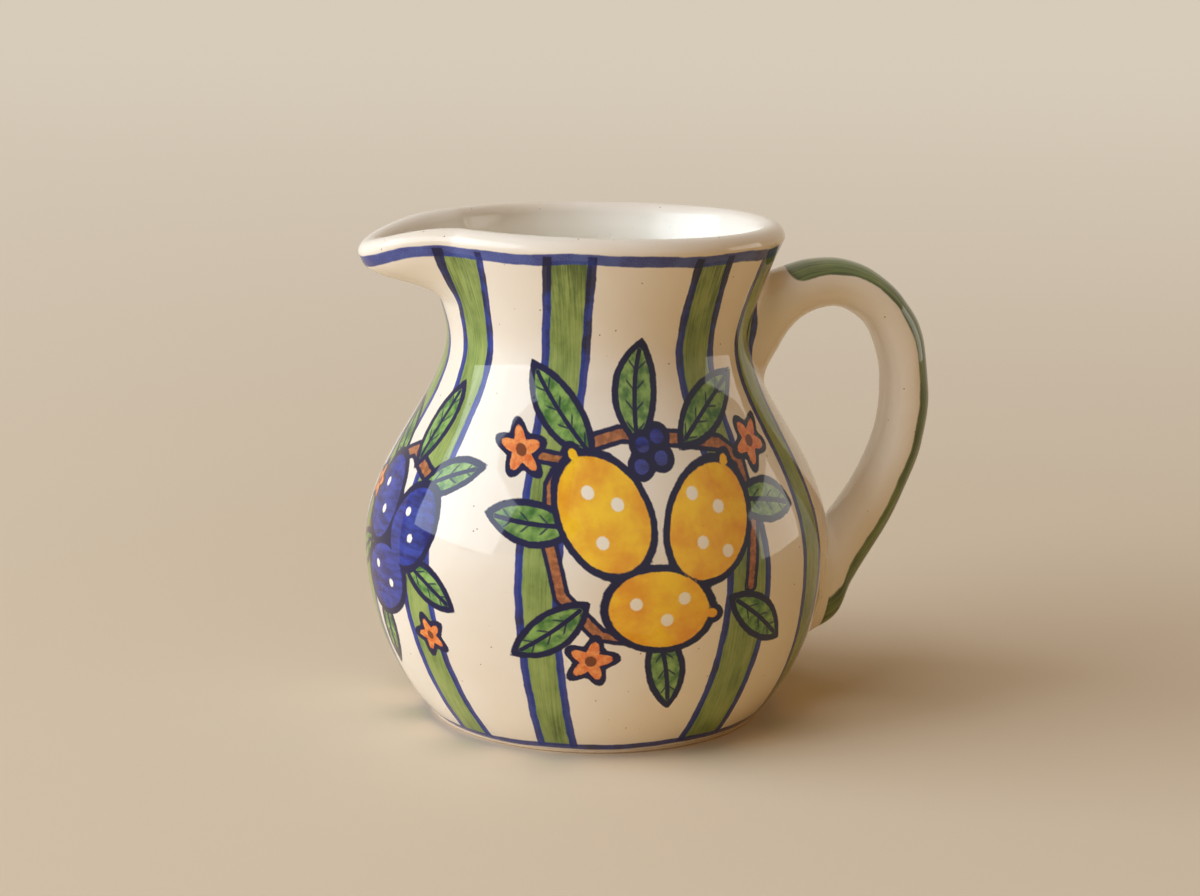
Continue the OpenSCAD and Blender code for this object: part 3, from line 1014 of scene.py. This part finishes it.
# %% Clay of the foot
POOL_R = 0.0372
STAIN_R = 0.0478
SAND = tone(206, 174, 136)
RAW_CLAY = tone(180, 140, 100)
DARK_CLAY = tone(150, 108, 72)
clay = Recipe("bare_clay_foot")
grain = clay.noise(clay.place, 900.0, 3.0, 0.6)
patch = clay.noise(clay.place, 60.0, 2.0)
bare = clay.mix(grain.above(0.5, 0.2), SAND, RAW_CLAY)
bare = clay.mix(patch.above(0.58, 0.1) * 0.3, bare, DARK_CLAY)
from_axis = clay.from_axis()
pool = 1 - (from_axis + (patch - 0.5) * 0.006).above(POOL_R, 0.0006)
haze = from_axis.above(STAIN_R, 0.0006) * 0.7
colour = clay.mix(haze, clay.mix(pool, bare, THIN_CREAM), THIN_CREAM)
rough = 0.85 - pool * 0.65
bump = clay.node("ShaderNodeBump", {}, {"Strength": 0.6, "Distance": 0.0002, "Height": grain})
foot_clay = clay.finish(Base_Color=colour, Roughness=rough, Normal=bump)
print("bare clay:", len(clay.tree.nodes), "nodes")

# %% [markdown]
# Standing in for the solids
#
# Each finished skin hides the plain solids that it covers and takes their place. Nothing on a jug
# moves, so all three ride on its one body.

# %% Hand the pieces to the frame
for piece, material, slot, nodes in (
    (jug, jug_glaze, "painted_glaze", ("bowl", "shoulder_and_neck", "rim_and_spout")),
    (foot, foot_clay, "foot_clay", ("foot_ring",)),
    (handle, handle_glaze, "handle_glaze", ("handle", "upper_slip_joint", "lower_slip_joint")),
):
    piece.data.materials.clear()
    piece.data.materials.append(material)
    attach(piece, "root")
    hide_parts(*nodes)
    print(piece.name, "stands for", nodes)

# %% [markdown]
# The table and the light
#
# The jug stands on a plain pale floor that fades into a pale surround of the same colour, so no
# horizon shows. The surround is what the camera and the gloss see. What falls on the jug from all
# round is weaker and warmer, as light is after it has met a wooden table and plain walls, so the
# two are kept apart by the kind of ray. The floor does the same: it looks pale, and sends up the
# light of a wooden table.

# %% Floor and surround
SURROUND = tone(215, 203, 185)
FLOOR = tone(230, 216, 194)
WOOD_BOUNCE = tone(233, 203, 152)
AMBIENT = tone(243, 190, 116)
AMBIENT_STRENGTH = 0.27
CAMERA_WAY = 0.7


def seen_or_mirrored(recipe):
    """1 for rays from the camera and in reflections or glass, 0 for light that falls on things."""
    kinds = ("Is Camera Ray", "Is Glossy Ray", "Is Transmission Ray")
    rays = [recipe.node("ShaderNodeLightPath", {}, {}, kind) for kind in kinds]
    return (rays[0] + rays[1] + rays[2]).math("MINIMUM", 1.0)


put_down()
bpy.ops.mesh.primitive_circle_add(vertices=96, radius=40, fill_type="TRIFAN", location=(0, 0, 0))
table = bpy.context.object
table.name = "floor"
floor_paint = Recipe("plain_floor")
away = floor_paint.from_axis()
depth = away.math("DIVIDE", away + CAMERA_WAY)
fade = depth.above(0.5, 0.42) * seen_or_mirrored(floor_paint)
seen_colour = floor_paint.mix(seen_or_mirrored(floor_paint), WOOD_BOUNCE, FLOOR)
table.data.materials.append(floor_paint.finish(Base_Color=seen_colour, Roughness=0.85))
glow = floor_paint.node("ShaderNodeEmission", {}, {"Color": SURROUND, "Strength": 1.0})
floor_paint.lay_over(fade, glow)

world = bpy.data.worlds.new("pale_surround")
bpy.context.scene.world = world
world.use_nodes = True
sky = Recipe("surround", world.node_tree)
ambient = sky.node("ShaderNodeBackground", {}, {"Color": AMBIENT, "Strength": AMBIENT_STRENGTH})
pale = sky.node("ShaderNodeBackground", {}, {"Color": SURROUND, "Strength": 1.0})
both = sky.node("ShaderNodeMixShader", {}, {0: seen_or_mirrored(sky), 1: ambient, 2: pale})
sky.tree.links.new(both.socket, sky.out.inputs[0])
print("the floor is half faded", CAMERA_WAY, "m behind the jug")

# %% [markdown]
# The lamps
#
# A glossy glaze shows every lamp, so each one is a light and a picture of itself. The window on the
# left gives the broad pale patch on the belly. Its whole strength would turn that patch plain
# white, so part of its light comes from a second lamp in the same place, which the gloss doesn't
# show. A far window on the right is too weak to light anything and only shows as a faint patch in
# the gloss. A panel overhead and a pale wall on the left soften the shade, and stay out of the
# gloss.


# %% Lamps
LAMP_AWAY = 2300
MIDDLE = Vector((0, 0, JUG_H / 2))


def softbox(name, azimuth, elevation, wide, tall, power, colour, mirrored=True, lights=True):
    """A rectangular lamp toward the jug: its direction in degrees, its size in mm."""
    flat, up = math.radians(azimuth), math.radians(elevation)
    toward = Vector((math.cos(flat) * math.cos(up), math.sin(flat) * math.cos(up), math.sin(up)))
    place = (MIDDLE + toward * LAMP_AWAY) * MM
    bpy.ops.object.light_add(type="AREA", location=place)
    lamp = bpy.context.object
    lamp.name = name
    lamp.rotation_euler = (-toward).to_track_quat("-Z", "Y").to_euler()
    lamp.data.shape = "RECTANGLE"
    lamp.data.size = wide * MM
    lamp.data.size_y = tall * MM
    lamp.data.energy = power
    lamp.data.color = colour
    lamp.visible_glossy = mirrored
    lamp.visible_diffuse = lights
    print(name, [round(v, 2) for v in place], "m", power, "W")


softbox("window", 187, 24, 2230, 1280, 26.0, (0.88, 1.0, 1.11))
softbox("window_light", 187, 24, 2230, 1280, 25.0, (0.93, 1.01, 1.10), mirrored=False)
softbox("far_window", 5, 5, 1300, 1300, 8.5, (1.0, 0.97, 0.92), lights=False)
softbox("sky_panel", 225, 76, 1500, 1500, 13.0, (0.95, 1.0, 1.05), mirrored=False)
softbox("left_wall", 211, 3, 1600, 800, 18.0, (0.92, 1.0, 1.07), mirrored=False)
bpy.context.scene.view_settings.view_transform = "Standard"

# %% [markdown]
# The camera
#
# The camera stands where the photographer's did: a little above the rim, looking down on the side
# of the jug, with the spout turned slightly nearer. Its place and lens were found by fitting the
# outline of the jug.

# %% Camera
CAMERA_PLACE = (-77.1 * MM, -694.6 * MM, 222.3 * MM)
HEADING = -6.4
LOOKING_DOWN = 11.5
ROLL = 0.6
bpy.ops.object.camera_add(location=CAMERA_PLACE)
camera = bpy.context.object
heading = Matrix.Rotation(math.radians(HEADING), 3, "Z")
tilt = Matrix.Rotation(math.radians(90 - LOOKING_DOWN), 3, "X")
roll = Matrix.Rotation(math.radians(ROLL), 3, "Z")
camera.rotation_euler = (heading @ tilt @ roll).to_euler()
camera.data.sensor_width = 36.0
camera.data.lens = 70.5
camera.data.dof.use_dof = False
bpy.context.scene.camera = camera
print("camera at", [round(v / MM) for v in camera.location], "mm, lens", camera.data.lens, "mm")
